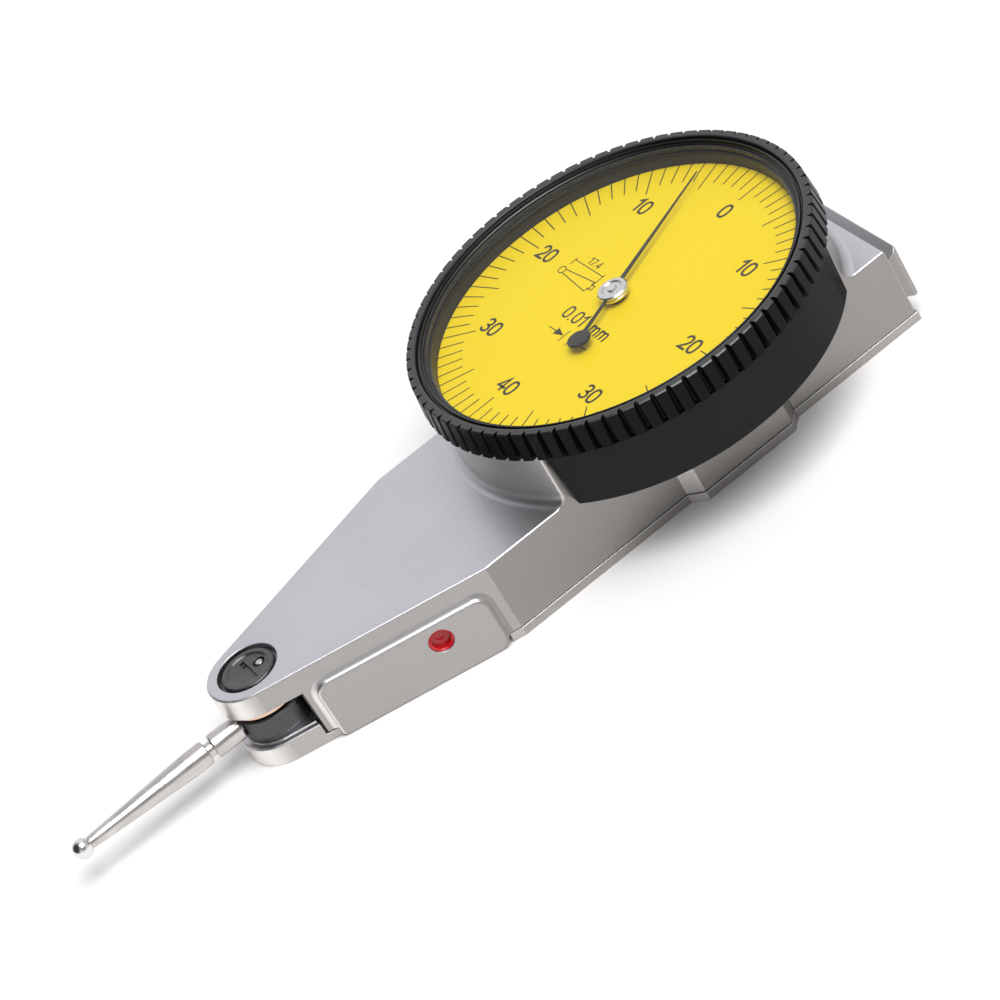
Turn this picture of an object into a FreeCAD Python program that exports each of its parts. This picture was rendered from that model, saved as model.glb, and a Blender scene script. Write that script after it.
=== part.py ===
import FreeCAD, Part
import Sketcher
import math
import os
from FreeCAD import Vector, Placement, Rotation

# Dial test indicator.
# +X points to the tail, -X to the stylus, +Z out of the dial face.
# The origin lies on the dial axis, in the plane of the bottom cover's outer face.

os.makedirs("parts", exist_ok=True)
doc = FreeCAD.newDocument("dial_test_indicator")

# ---------------------------------------------------------------- driving dimensions (mm, degrees)
DIMS = [
    ("top_z", 8.5), ("cover_thk", 0.9), ("half_wide", 10.75), ("taper_deg", 17.0), ("wall_dist", 17.73),
    ("pivot_x", -46.5), ("nose_rad", 4.13), ("slot_x", -44.25), ("slot_top", 6.1), ("rear_x", 20.65),
    ("pad_foot", 6.3), ("pad_crest", 5.05), ("pad_out", 1.35), ("wall_thk", 1.3), ("cavity_top", 7.3),
    ("boss_rad", 19.4), ("boss_in", 15.0), ("boss_top", 12.6), ("rim_in", 19.05), ("rim_top", 14.3),
    ("boss_fillet", 1.0), ("edge_round", 0.2),
    ("dove_x", 22.0), ("dove_mid", 5.0), ("dove_root", 2.15), ("dove_half", 2.9), ("dove_wide", 10.6),
    ("panel_front", -43.45), ("panel_rear", -26.9), ("panel_dist", 18.25), ("panel_top", 6.3), ("panel_round", 1.3),
    ("plug_along", -32.0), ("plug_z", 4.25), ("plug_rad", 1.2),
    ("arm_top", 2.15), ("arm_x", -44.55), ("lower_bush_rad", 1.5), ("upper_bush_rad", 2.0), ("arbor_rad", 0.75),
    ("cap_rad", 2.98), ("cap_seat", 7.55),
    ("case_rad", 19.6), ("case_low", 8.55), ("case_floor", 12.6), ("case_deck", 13.5), ("case_wall_in", 17.6),
    ("case_gap", 0.03), ("spigot_in", 17.2), ("spigot_out", 18.2), ("spigot_top", 14.65),
    ("ring_low", 13.95), ("ring_high", 14.25), ("ring_seat", 17.8),
    ("bezel_low", 14.6), ("bezel_top", 17.55), ("bezel_rad", 20.05), ("bezel_rad_low", 20.3), ("sleeve_in", 18.4),
    ("sleeve_out", 18.95), ("sleeve_low", 13.75), ("bezel_bore", 18.0), ("crystal_rad", 18.22), ("crystal_low", 16.5),
    ("crystal_top", 17.1), ("gasket_rad", 18.48), ("knurl_count", 80), ("knurl_deep", 0.75), ("knurl_turn", 2.9),
    ("dial_rad", 18.33), ("dial_low", 14.75), ("dial_top", 15.1), ("dial_turn", 1.05),
    ("hand_z", 15.95), ("hand_thk", 0.12), ("hand_turn", 25.6), ("hand_tip", 15.95), ("hand_tail", 6.3), ("hand_disc", 1.15),
    ("shaft_rad", 0.4), ("hubcap_rad", 1.5), ("wheel_x", -9.0),
    ("gear_module", 0.2), ("sector_teeth", 350), ("pinion_teeth", 25), ("wheel_teeth", 83), ("centre_teeth", 7),
    ("sector_z", 2.3), ("sector_thk", 0.4), ("train_z", 4.2), ("train_thk", 0.4),
    ("bridge_low", 1.15), ("bridge_high", 1.9), ("pillar_rad", 1.1), ("jewel_rad", 0.8), ("shaft_bore", 0.43),
    ("hub_rad", 3.45), ("hub_low", 2.8), ("hub_high", 4.9), ("washer_low", 5.3), ("washer_high", 6.07),
    ("stylus_z", 4.1), ("stylus_rad", 1.2), ("stylus_turn", -1.0), ("ball_rad", 1.0), ("ball_reach", 21.14),
    ("spring_z", 5.6), ("spring_in", 0.75), ("spring_out", 3.1), ("spring_turns", 5.0),
]
sheet = doc.addObject("Spreadsheet::Sheet", "dims")
for i, (name, value) in enumerate(DIMS):
    sheet.set("A%d" % (i + 1), name)
    sheet.set("B%d" % (i + 1), str(value))
    sheet.setAlias("B%d" % (i + 1), name)
doc.recompute()


class Q:
    """A number together with the spreadsheet expression that gives it."""

    def __init__(self, value, text):
        self.v = float(value)
        self.t = text

    def __add__(self, other):
        other = q(other)
        return Q(self.v + other.v, "(%s + %s)" % (self.t, other.t))

    def __radd__(self, other):
        return q(other) + self

    def __sub__(self, other):
        other = q(other)
        return Q(self.v - other.v, "(%s - %s)" % (self.t, other.t))

    def __rsub__(self, other):
        return q(other) - self

    def __mul__(self, other):
        other = q(other)
        return Q(self.v * other.v, "(%s * %s)" % (self.t, other.t))

    def __rmul__(self, other):
        return q(other) * self

    def __truediv__(self, other):
        other = q(other)
        return Q(self.v / other.v, "(%s / %s)" % (self.t, other.t))

    def __neg__(self):
        return Q(-self.v, "(0 - %s)" % self.t)


def q(x):
    if isinstance(x, Q):
        return x
    x = float(x)
    return Q(x, "(0 - %.6f)" % -x if x < 0 else "%.6f" % x)


D = {name: Q(sheet.get(name), "dims.%s" % name) for name, value in DIMS}


def cosd(a):
    a = q(a)
    return Q(math.cos(math.radians(a.v)), "cos(%s * 1 deg)" % a.t)


def sind(a):
    a = q(a)
    return Q(math.sin(math.radians(a.v)), "sin(%s * 1 deg)" % a.t)


def bind(obj, prop, value):
    value = q(value)
    obj.setExpression(prop, value.t)
    return value.v


def place(obj, x=0, y=0, z=0, turn=0.0, axis=(0, 0, 1)):
    """Puts an object at x, y, z and binds those coordinates to the sheet."""
    x, y, z = q(x), q(y), q(z)
    obj.Placement = Placement(Vector(x.v, y.v, z.v), Rotation(Vector(*axis), turn))
    for prop, value in ((".Placement.Base.x", x), (".Placement.Base.y", y), (".Placement.Base.z", z)):
        if "dims." in value.t:
            obj.setExpression(prop, value.t)
    return obj


# ---------------------------------------------------------------- sketches
def draw(sk, loops):
    """Draws closed loops with every vertex tied to the origin by sheet dimensions.

    A loop is ("circle", x, y, r) or a list of (x, y) vertices; a vertex (x, y, cx, cy, r, side)
    is reached by an arc about cx, cy."""
    for loop in loops:
        if loop[0] == "circle":
            x, y, r = q(loop[1]), q(loop[2]), q(loop[3])
            g = sk.addGeometry(Part.Circle(Vector(x.v, y.v, 0), Vector(0, 0, 1), r.v), False)
            tie_point(sk, g, 3, x, y)
            c = sk.addConstraint(Sketcher.Constraint("Radius", g, r.v))
            sk.setExpression("Constraints[%d]" % c, r.t)
            continue
        pts = [tuple(q(w) if k < 5 else w for k, w in enumerate(p)) for p in loop]
        n = len(pts)
        first = None
        ids = []
        for i in range(n):
            a, b = pts[i], pts[(i + 1) % n]
            va, vb = Vector(a[0].v, a[1].v, 0), Vector(b[0].v, b[1].v, 0)
            if len(b) > 2:
                cx, cy, r, side = b[2].v, b[3].v, b[4].v, b[5]
                t0 = math.atan2(va.y - cy, va.x - cx)
                t1 = math.atan2(vb.y - cy, vb.x - cx)
                circle = Part.Circle(Vector(cx, cy, 0), Vector(0, 0, 1), r)
                if side > 0:
                    g = sk.addGeometry(Part.ArcOfCircle(circle, t0, t1 if t1 > t0 else t1 + 2 * math.pi), False)
                    ids.append((g, 1, 2))
                else:
                    g = sk.addGeometry(Part.ArcOfCircle(circle, t1, t0 if t0 > t1 else t0 + 2 * math.pi), False)
                    ids.append((g, 2, 1))
            else:
                g = sk.addGeometry(Part.LineSegment(va, vb), False)
                ids.append((g, 1, 2))
        for i in range(n):
            g0, s0, e0 = ids[i]
            g1, s1, e1 = ids[(i + 1) % n]
            sk.addConstraint(Sketcher.Constraint("Coincident", g0, e0, g1, s1))
        for i in range(n):
            g0, s0, e0 = ids[i]
            tie_point(sk, g0, s0, pts[i][0], pts[i][1])
            b = pts[(i + 1) % n]
            if len(b) > 2:
                c = sk.addConstraint(Sketcher.Constraint("Radius", g0, b[4].v))
                if "dims." in b[4].t:
                    sk.setExpression("Constraints[%d]" % c, b[4].t)


def tie_point(sk, geo, pos, x, y):
    for value, kind, axis in ((x, "DistanceX", -2), (y, "DistanceY", -1)):
        if abs(value.v) < 1e-9:
            sk.addConstraint(Sketcher.Constraint("PointOnObject", geo, pos, axis))
        else:
            c = sk.addConstraint(Sketcher.Constraint(kind, -1, 1, geo, pos, value.v))
            if "dims." in value.t:
                sk.setExpression("Constraints[%d]" % c, value.t)


counter = [0]


def fresh(prefix):
    counter[0] += 1
    return "%s_%03d" % (prefix, counter[0])


def role(body, name):
    for f in body.Origin.OriginFeatures:
        if f.Role == name:
            return f
    raise RuntimeError(name)


def body_sketch(body, plane, loops, offset=0):
    sk = body.newObject("Sketcher::SketchObject", fresh("sketch"))
    sk.AttachmentSupport = [(role(body, plane), "")]
    sk.MapMode = "FlatFace"
    offset = q(offset)
    sk.AttachmentOffset = Placement(Vector(0, 0, offset.v), Rotation())
    if "dims." in offset.t:
        sk.setExpression(".AttachmentOffset.Base.z", offset.t)
    draw(sk, loops)
    doc.recompute()
    return sk


def new_body(label):
    body = doc.addObject("PartDesign::Body", "body_" + label)
    body.Label = label
    return body


def pad(body, loops, low, high, plane="XY_Plane"):
    low, high = q(low), q(high)
    sk = body_sketch(body, plane, loops, low)
    f = body.newObject("PartDesign::Pad", fresh("pad"))
    f.Profile = sk
    f.Length = high.v - low.v
    bind(f, "Length", high - low)
    doc.recompute()
    return f


def pocket(body, loops, low, high, plane="XY_Plane"):
    """Cuts a prism between the heights low and high."""
    low, high = q(low), q(high)
    before = body.Shape.Volume
    sk = body_sketch(body, plane, loops, high)
    f = body.newObject("PartDesign::Pocket", fresh("pocket"))
    f.Profile = sk
    f.Length = high.v - low.v
    bind(f, "Length", high - low)
    doc.recompute()
    if not body.Shape.Volume < before - 1e-6:
        f.Reversed = True
        doc.recompute()
    if not body.Shape.Volume < before - 1e-6:
        raise RuntimeError("pocket cuts nothing in " + body.Label)
    return f


def spin(body, loop, groove=False):
    """Turns a profile of (radius, height) vertices about the body's Z axis."""
    sk = body.newObject("Sketcher::SketchObject", fresh("profile"))
    sk.AttachmentSupport = [(role(body, "XZ_Plane"), "")]
    sk.MapMode = "FlatFace"
    draw(sk, [loop])
    doc.recompute()
    before = body.Shape.Volume if groove else 0
    f = body.newObject("PartDesign::Groove" if groove else "PartDesign::Revolution", fresh("turn"))
    f.Profile = sk
    f.ReferenceAxis = (sk, ["V_Axis"])
    f.Angle = 360
    doc.recompute()
    if groove and not body.Shape.Volume < before - 1e-6:
        raise RuntimeError("groove cuts nothing in " + body.Label)
    return f


def turned(label, loop, x=0, y=0, z=0):
    body = new_body(label)
    spin(body, loop)
    place(body, x, y, z)
    return body


def disc(label, r, low, high, bore=None, x=0, y=0, chamfer=0.0):
    """A turned disc or ring between two heights."""
    r, low, high = q(r), q(low), q(high)
    inner = q(bore) if bore is not None else q(0)
    c = chamfer
    if c:
        loop = [(inner, low), (r - c, low), (r, low + c), (r, high - c), (r - c, high), (inner, high)]
    else:
        loop = [(inner, low), (r, low), (r, high), (inner, high)]
    return turned(label, loop, x, y)


# ---------------------------------------------------------------- booleans
def prism(loops, low, high):
    """A sketch in the XY plane extruded between two heights, outside any body."""
    low, high = q(low), q(high)
    sk = doc.addObject("Sketcher::SketchObject", fresh("outline"))
    draw(sk, loops)
    place(sk, 0, 0, low)
    ex = doc.addObject("Part::Extrusion", fresh("prism"))
    ex.Base = sk
    ex.DirMode = "Normal"
    ex.Solid = True
    ex.LengthFwd = high.v - low.v
    bind(ex, "LengthFwd", high - low)
    doc.recompute()
    return ex


def cyl(r, low, high, x=0, y=0):
    r, low, high = q(r), q(low), q(high)
    c = doc.addObject("Part::Cylinder", fresh("cylinder"))
    c.Radius = bind(c, "Radius", r)
    c.Height = bind(c, "Height", high - low)
    place(c, x, y, low)
    return c


def cone(r1, r2, low, high, x=0, y=0):
    c = doc.addObject("Part::Cone", fresh("cone"))
    r1, r2, low, high = q(r1), q(r2), q(low), q(high)
    c.Radius1 = bind(c, "Radius1", r1)
    c.Radius2 = bind(c, "Radius2", r2)
    c.Height = bind(c, "Height", high - low)
    place(c, x, y, low)
    return c


def box(x0, x1, y0, y1, z0, z1):
    x0, x1, y0, y1, z0, z1 = [q(w) for w in (x0, x1, y0, y1, z0, z1)]
    b = doc.addObject("Part::Box", fresh("box"))
    b.Length = bind(b, "Length", x1 - x0)
    b.Width = bind(b, "Width", y1 - y0)
    b.Height = bind(b, "Height", z1 - z0)
    place(b, x0, y0, z0)
    return b


def fuse(items, label=None):
    f = doc.addObject("Part::MultiFuse", fresh("fuse"))
    f.Shapes = items
    f.Refine = True
    if label:
        f.Label = label
    doc.recompute()
    return f


def cut(base, tools, label=None):
    before = base.Shape.Volume
    tool = tools[0] if len(tools) == 1 else fuse(tools)
    f = doc.addObject("Part::Cut", fresh("cut"))
    f.Base = base
    f.Tool = tool
    f.Refine = True
    if label:
        f.Label = label
    doc.recompute()
    if not f.Shape.Volume < before - 1e-6:
        raise RuntimeError("cut removes nothing: %s" % (label or f.Name))
    return f


def common(items):
    f = doc.addObject("Part::MultiCommon", fresh("common"))
    f.Shapes = items
    doc.recompute()
    return f


def group(label, items):
    c = doc.addObject("Part::Compound", fresh("group"))
    c.Links = items
    c.Label = label
    doc.recompute()
    return c


PARTS = []


def keep(obj):
    PARTS.append(obj)
    return obj


# ================================================================= body casting
S, C = sind(D["taper_deg"]), cosd(D["taper_deg"])


def wall_y(x, dist):
    """Half-width of the tapered wall, a plane at a set distance from the origin, at x."""
    return (q(dist) + S * x) / C


def wall_x(y, dist):
    """x where the tapered wall reaches the half-width y."""
    return (C * y - q(dist)) / S


def mirrored(pts):
    return pts + [(p[0], -q(p[1])) for p in reversed(pts)]


def outline(front, dist, half, rear, pads=True, grow=0.0):
    """Half outline on -Y from the front edge to the rear, then mirrored."""
    y0 = wall_y(front, dist)
    pts = [(front, -y0), (wall_x(half, dist), -q(half))]
    if pads:
        crest, foot, out = D["pad_crest"] - grow, D["pad_foot"] - grow, half + D["pad_out"]
        pts += [(-foot, -q(half)), (-crest, -q(out)), (crest, -q(out)), (foot, -q(half))]
    pts += [(rear, -q(half))]
    return mirrored(pts)


nose_x = D["pivot_x"] - S * D["nose_rad"]
gap = 0.14
main = prism([outline(nose_x, D["wall_dist"], D["half_wide"], D["rear_x"])], D["cover_thk"] + gap, D["top_z"])
nose = cyl(D["nose_rad"], D["cover_thk"] + gap, D["top_z"], D["pivot_x"], 0)
hull = fuse([main, nose])


def edges_where(shape, test):
    out = []
    for i, e in enumerate(shape.Edges):
        mids = [v.Point for v in e.Vertexes]
        p = e.valueAt((e.FirstParameter + e.LastParameter) / 2.0)
        if test(mids + [p]):
            out.append(i + 1)
    return out


top_edges = edges_where(hull.Shape, lambda ps: all(abs(p.z - D["top_z"].v) < 1e-4 for p in ps))
rounded = doc.addObject("Part::Fillet", "hull_rounded")
rounded.Base = hull
rounded.Edges = [(i, D["edge_round"].v, D["edge_round"].v) for i in top_edges]
doc.recompute()

# boss walls under the dial case, with a wide fillet at the foot
r, f = D["boss_rad"], D["boss_fillet"]
boss_body = new_body("boss_ring")
spin(boss_body, [
    (D["boss_in"], D["top_z"] - 0.5), (r + f, D["top_z"] - 0.5), (r + f, D["top_z"]),
    (r, D["top_z"] + f, r + f, D["top_z"] + f, f, -1),
    (r, D["rim_top"] - 0.15), (r - 0.12, D["rim_top"]), (D["rim_in"], D["rim_top"]),
    (D["rim_in"], D["boss_top"]), (D["boss_in"], D["boss_top"]),
])
boss_blank = common([boss_body, box(-30, D["rear_x"] - 0.3, -D["half_wide"], D["half_wide"], 0, 20)])
uprights = edges_where(boss_blank.Shape, lambda ps: all(abs(abs(p.y) - D["half_wide"].v) < 1e-4 and abs(p.x) > 15.9 for p in ps)
                       and abs(ps[0].z - ps[1].z) > 2.0)
boss = doc.addObject("Part::Fillet", "boss_rounded")
boss.Base = boss_blank
boss.Edges = [(i, 0.27, 0.27) for i in uprights]
doc.recompute()

# the dovetail across the rear end: 60 degree flanks, wider at the outside
xr, xd, zm = D["rear_x"], D["dove_x"], D["dove_mid"]
dove_body = new_body("dovetail")
sk = dove_body.newObject("Sketcher::SketchObject", "dovetail_profile")
sk.AttachmentSupport = [(role(dove_body, "XZ_Plane"), "")]
sk.MapMode = "FlatFace"
draw(sk, [[(xr - 0.5, zm - D["dove_root"]), (xr, zm - D["dove_root"]), (xd - 0.08, zm - D["dove_half"]), (xd, zm - D["dove_half"] + 0.12),
           (xd, zm + D["dove_half"] - 0.12), (xd - 0.08, zm + D["dove_half"]), (xr, zm + D["dove_root"]), (xr - 0.5, zm + D["dove_root"])]])
doc.recompute()
dp = dove_body.newObject("PartDesign::Pad", "dovetail_pad")
dp.Profile = sk
dp.Midplane = True
bind(dp, "Length", D["dove_wide"] * 2)
doc.recompute()
corner = edges_where(dp.Shape, lambda ps: all(abs(abs(p.y) - D["dove_wide"].v) < 1e-4 for p in ps) and all(abs(p.x - xd.v) < 1e-3 for p in ps))
dc = dove_body.newObject("PartDesign::Chamfer", "dovetail_corner")
dc.Base = (dp, ["Edge%d" % i for i in corner])
dc.Size = 0.5
doc.recompute()


# raised side panels on the tapered neck, with a coved ledge above them
def along(x, dist):
    """Distance along the tapered wall from the foot of the origin's normal, positive to the nose."""
    return -(q(x) + S * q(dist)) / C


def panel(side):
    lo, hi = along(D["panel_rear"], D["panel_dist"]), along(D["panel_front"], D["panel_dist"])
    rr = D["panel_round"]
    b = new_body("panel_near" if side < 0 else "panel_far")
    sk = b.newObject("Sketcher::SketchObject", fresh("panel_face"))
    sk.AttachmentSupport = [(role(b, "XZ_Plane"), "")]
    sk.MapMode = "FlatFace"
    top = D["panel_top"]
    draw(sk, [[(-hi, 0.5), (-hi + 0.5, 0.0, -hi + 0.5, 0.5, 0.5, 1), (-lo - rr, 0.0), (-lo, rr, -lo - rr, rr, rr, 1),
               (-lo, top - rr), (-lo - rr, top, -lo - rr, top - rr, rr, 1),
               (-hi + rr, top), (-hi, top - rr, -hi + rr, top - rr, rr, 1)]])
    doc.recompute()
    f = b.newObject("PartDesign::Pad", fresh("panel_pad"))
    f.Profile = sk
    bind(f, "Length", D["panel_dist"] - 16.7)
    f.Reversed = side > 0
    doc.recompute()
    # the sketch plane lies at y = 0, so the pad is slid out to the wall
    y = f.Shape.BoundBox
    # soften the outer rim of the panel
    outer = -1.0 if abs(y.YMin) > abs(y.YMax) else 1.0
    reach = max(abs(y.YMin), abs(y.YMax))
    rim = edges_where(f.Shape, lambda ps: all(abs(p.y - outer * reach) < 1e-4 for p in ps))
    ch = b.newObject("PartDesign::Fillet", fresh("panel_rim"))
    ch.Base = (f, ["Edge%d" % i for i in rim])
    ch.Radius = 0.3
    doc.recompute()
    # the outward direction of the pad is local -Y or +Y; put its outer face on the panel plane
    ang = 180.0 if (outer > 0) != (side > 0) else 0.0
    turn = -D["taper_deg"].v if side < 0 else D["taper_deg"].v
    n = Vector(-S.v, side * C.v, 0)
    base = n * (D["panel_dist"].v - reach)
    b.Placement = Placement(base, Rotation(Vector(0, 0, 1), turn))
    doc.recompute()
    return b


def cove(side):
    """A concave ledge between the tapered wall and the panel's rim, swept up the front end, along the top and down the rear end."""
    lo, hi = along(D["panel_rear"], D["panel_dist"]), along(D["panel_front"], D["panel_dist"])
    s = 1.0 if side > 0 else -1.0
    rr, top, foot = D["panel_round"], D["panel_top"], 1.06
    wide, lift, rise = 1.15, 0.0, 0.27
    tag = "near" if side < 0 else "far"
    path = doc.addObject("Sketcher::SketchObject", "cove_path_" + tag)
    ids = [path.addGeometry(Part.LineSegment(Vector(-hi.v, foot, 0), Vector(-hi.v, (top - rr).v, 0)), False),
           path.addGeometry(Part.ArcOfCircle(Part.Circle(Vector((-hi + rr).v, (top - rr).v, 0), Vector(0, 0, 1), rr.v), math.pi / 2, math.pi), False),
           path.addGeometry(Part.LineSegment(Vector((-hi + rr).v, top.v, 0), Vector((-lo - rr).v, top.v, 0)), False),
           path.addGeometry(Part.ArcOfCircle(Part.Circle(Vector((-lo - rr).v, (top - rr).v, 0), Vector(0, 0, 1), rr.v), 0, math.pi / 2), False),
           path.addGeometry(Part.LineSegment(Vector(-lo.v, (top - rr).v, 0), Vector(-lo.v, foot, 0)), False)]
    for g0, g1, p0, p1 in ((ids[0], ids[1], 2, 2), (ids[1], ids[2], 1, 1), (ids[2], ids[3], 2, 2), (ids[3], ids[4], 1, 1)):
        path.addConstraint(Sketcher.Constraint("Coincident", g0, p0, g1, p1))
    for geo, pos, x, y in ((ids[0], 1, -hi, q(foot)), (ids[0], 2, -hi, top - rr), (ids[2], 1, -hi + rr, top), (ids[2], 2, -lo - rr, top),
                           (ids[4], 1, -lo, top - rr), (ids[4], 2, -lo, q(foot))):
        tie_point(path, geo, pos, x, y)
    for geo in (ids[1], ids[3]):
        c = path.addConstraint(Sketcher.Constraint("Radius", geo, rr.v))
        path.setExpression("Constraints[%d]" % c, rr.t)
    # the path lies in the XZ plane at y = 0, the wall's surface
    path.Placement = Placement(Vector(0, 0, 0), Rotation(Vector(1, 0, 0), 90))
    prof = doc.addObject("Sketcher::SketchObject", "cove_profile_" + tag)
    ax, ay, bx, by = (-hi).v, s * rise, (-hi).v - wide, s * lift
    mx, my, dx, dy = (ax + bx) / 2, (ay + by) / 2, bx - ax, by - ay
    L = math.hypot(dx, dy)
    rc = L * 1.06
    k = math.sqrt(rc * rc - L * L / 4) / L
    cx, cy = max([(mx - dy * k, my + dx * k), (mx + dy * k, my - dx * k)], key=lambda p: p[1] * s)
    draw(prof, [[(-hi + 0.25, -s * 0.3), (-hi + 0.25, s * rise), (-hi, s * rise), (bx, by, cx, cy, rc, -s), (bx, -s * 0.3)]])
    prof.Placement = Placement(Vector(0, 0, foot), Rotation())
    doc.recompute()
    f = doc.addObject("Part::Sweep", "cove_" + tag)
    f.Sections = [prof]
    f.Spine = (path, ["Edge%d" % i for i in range(1, 6)])
    f.Solid = True
    f.Frenet = False
    f.Transition = "Right corner"
    doc.recompute()
    turn = -D["taper_deg"].v if side < 0 else D["taper_deg"].v
    n = Vector(-S.v, side * C.v, 0)
    f.Placement = Placement(n * D["wall_dist"].v, Rotation(Vector(0, 0, 1), turn))
    doc.recompute()
    return f


panels = [panel(-1), panel(1)]
coves = [cove(-1), cove(1)]
blank = fuse([rounded, boss, dove_body] + panels + coves)

# cavity for the movement, the fork slot, bores and screw holes
t = D["wall_thk"]
cav = prism([outline(D["slot_x"] - 0.02, D["wall_dist"] - t, D["half_wide"] - t, D["rear_x"] - t, pads=False)], -1, D["cavity_top"])
slot_cut = box(-60, D["slot_x"], -9, 9, -1, D["slot_top"])
tools = [cav, slot_cut,
         cyl(1.2, 7, 9), cyl(D["jewel_rad"], 7, 9, D["wheel_x"], 0),
         cyl(D["cap_rad"] + 0.05, D["cap_seat"], 9, D["pivot_x"], 0),
         cyl(D["upper_bush_rad"], 5, 8, D["pivot_x"], 0)]
hollow = cut(blank, tools)

POSTS = [(16.6, 6.6), (16.6, -6.6), (-29.5, 6.6), (-29.5, -6.6)]
posts = [cyl(1.5, D["cover_thk"], D["cavity_top"] + 0.2, x, y) for x, y in POSTS]
with_posts = fuse([hollow] + posts)
CASE_SCREWS = [(-15.9, 3.0), (-15.9, -3.0), (15.9, 3.0), (15.9, -3.0)]
BRIDGE = [(3.5, 7.2), (3.5, -7.2), (-19.5, 6.4), (-19.5, -6.4)]
holes = [cyl(0.5, 0, 4.6, x, y) for x, y in POSTS]
holes += [cyl(0.5, 9.6, 13, x, y) for x, y in CASE_SCREWS]
holes += [cyl(0.42, 6, 8.1, x, y) for x, y in BRIDGE]
# seat of the sealing plug in the near panel
pn = Vector(-S.v, -C.v, 0)
pt = Vector(-C.v, S.v, 0)
px = D["plug_along"].v
py = -wall_y(D["plug_along"], D["panel_dist"]).v
seat = doc.addObject("Part::Cylinder", "plug_seat")
seat.Radius = bind(seat, "Radius", D["plug_rad"] + 0.02)
seat.Height = 2.2
seat.Placement = Placement(Vector(px, py, D["plug_z"].v) - pn * 1.2, Rotation(Vector(0, 0, 1), pn))
casting = keep(cut(with_posts, holes + [seat], "body_casting"))

# ================================================================= bottom cover
# plate with the lower fork arm; the panels reach down past its edge
plate = prism([outline(D["arm_x"], D["wall_dist"], D["half_wide"], D["rear_x"] + 0.3)], 0, D["cover_thk"])
arm = prism([mirrored([(nose_x, -wall_y(nose_x, D["wall_dist"])), (D["arm_x"], -wall_y(D["arm_x"], D["wall_dist"]))])], 0, D["arm_top"])
arm_nose = cyl(D["nose_rad"], 0, D["arm_top"], D["pivot_x"], 0)
arm_raw = fuse([arm, arm_nose])
arm_edges = edges_where(arm_raw.Shape, lambda ps: all(abs(p.z - D["arm_top"].v) < 1e-4 for p in ps) and not all(abs(p.x - D["arm_x"].v) < 1e-3 for p in ps))
arm_round = doc.addObject("Part::Fillet", "arm_rounded")
arm_round.Base = arm_raw
arm_round.Edges = [(i, 0.18, 0.18) for i in arm_edges]
doc.recompute()
# a raised land carries the spacer ring under the stylus hub
inset = 0.68
land = prism([mirrored([(nose_x, -wall_y(nose_x, D["wall_dist"] - inset)), (D["arm_x"], -wall_y(D["arm_x"], D["wall_dist"] - inset))])], 1.5, D["arm_top"] + 0.1)
land_nose = cyl(D["nose_rad"] - inset, 1.5, D["arm_top"] + 0.1, D["pivot_x"], 0)
cover_blank = fuse([plate, arm_round, land, land_nose])
sides = []
for side in (-1, 1):
    lo, hi = along(D["panel_rear"], D["panel_dist"]), along(D["panel_front"], D["panel_dist"])
    b = doc.addObject("Part::Box", fresh("panel_relief"))
    b.Length = bind(b, "Length", hi - lo + 0.1)
    b.Width = bind(b, "Width", D["panel_dist"] - 16.7 + 1.0)
    b.Height = 3
    turn = -D["taper_deg"].v if side < 0 else D["taper_deg"].v
    rot = Rotation(Vector(0, 0, 1), turn)
    # local X runs against the wall direction to the nose
    y0 = -(D["panel_dist"].v + 1.0 - 0.05) if side < 0 else 16.7 - 0.05
    b.Placement = Placement(rot.multVec(Vector(-hi.v - 0.05, y0, -1)), rot)
    sides.append(b)
tools = sides + [cyl(D["lower_bush_rad"], -1, 3, D["pivot_x"], 0)]
for x, y in POSTS:
    tools += [cyl(0.72, -1, 2, x, y), cone(1.45, 0.7, -0.05, 0.6, x, y)]
keep(cut(cover_blank, tools, "bottom_cover"))


def screw(head_r, head_h, shank_r, length, x, y, z, countersunk, up):
    """A slotted screw; its head lies at z and its shank runs away from it."""
    s = new_body(fresh("screw"))
    g = 1.0 if up else -1.0
    if countersunk:
        loop = [(0, 0), (head_r, 0), (shank_r, g * head_h), (shank_r, g * length), (0, g * length)]
    else:
        loop = [(0, 0), (head_r, 0), (head_r, g * head_h), (shank_r, g * head_h), (shank_r, g * length), (0, g * length)]
    spin(s, loop)
    w = 0.12 * head_r + 0.05
    deep = head_h * 0.45
    slot = [(-head_r - 0.2, -w), (head_r + 0.2, -w), (head_r + 0.2, w), (-head_r - 0.2, w)]
    if up:
        pocket(s, [slot], -0.05, deep)
    else:
        pocket(s, [slot], -deep, 0.05)
    place(s, x, y, z)
    return s


keep(group("cover_screws", [screw(1.3, 0.6, 0.5, 4.2, x, y, 0.04, True, True) for x, y in POSTS]))

# ================================================================= fork: cap, bushes, plug, washer
px0 = D["pivot_x"]
cap = new_body("pivot_cap")
rc, zc = D["cap_rad"], D["cap_seat"]
spin(cap, [(0, zc + 0.01), (rc, zc + 0.01), (rc, zc + 0.4), (rc - 0.34, zc + 0.4), (rc - 0.38, zc + 0.8), (rc - 0.48, zc + 0.88), (rc - 0.86, zc + 0.88),
           (rc - 1.06, zc + 0.74), (rc - 1.4, zc + 0.7), (0, zc + 0.66)])
pocket(cap, [[(-0.25, -1.6), (0.25, -1.6), (0.25, 1.6), (-0.25, 1.6)]], zc + 0.3, zc + 1.0)
pocket(cap, [("circle", 1.2, 0, 0.6)], zc + 0.3, zc + 1.0)
place(cap, px0, 0, 0)
keep(cap)
keep(disc("cap_pin", 0.36, D["cap_seat"] + 0.3, D["cap_seat"] + 0.72, x=px0 + 1.2, chamfer=0.05))
keep(disc("upper_pivot_bush", D["upper_bush_rad"], D["slot_top"] + 0.02, D["cap_seat"], bore=D["arbor_rad"] + 0.02, x=px0))
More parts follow.
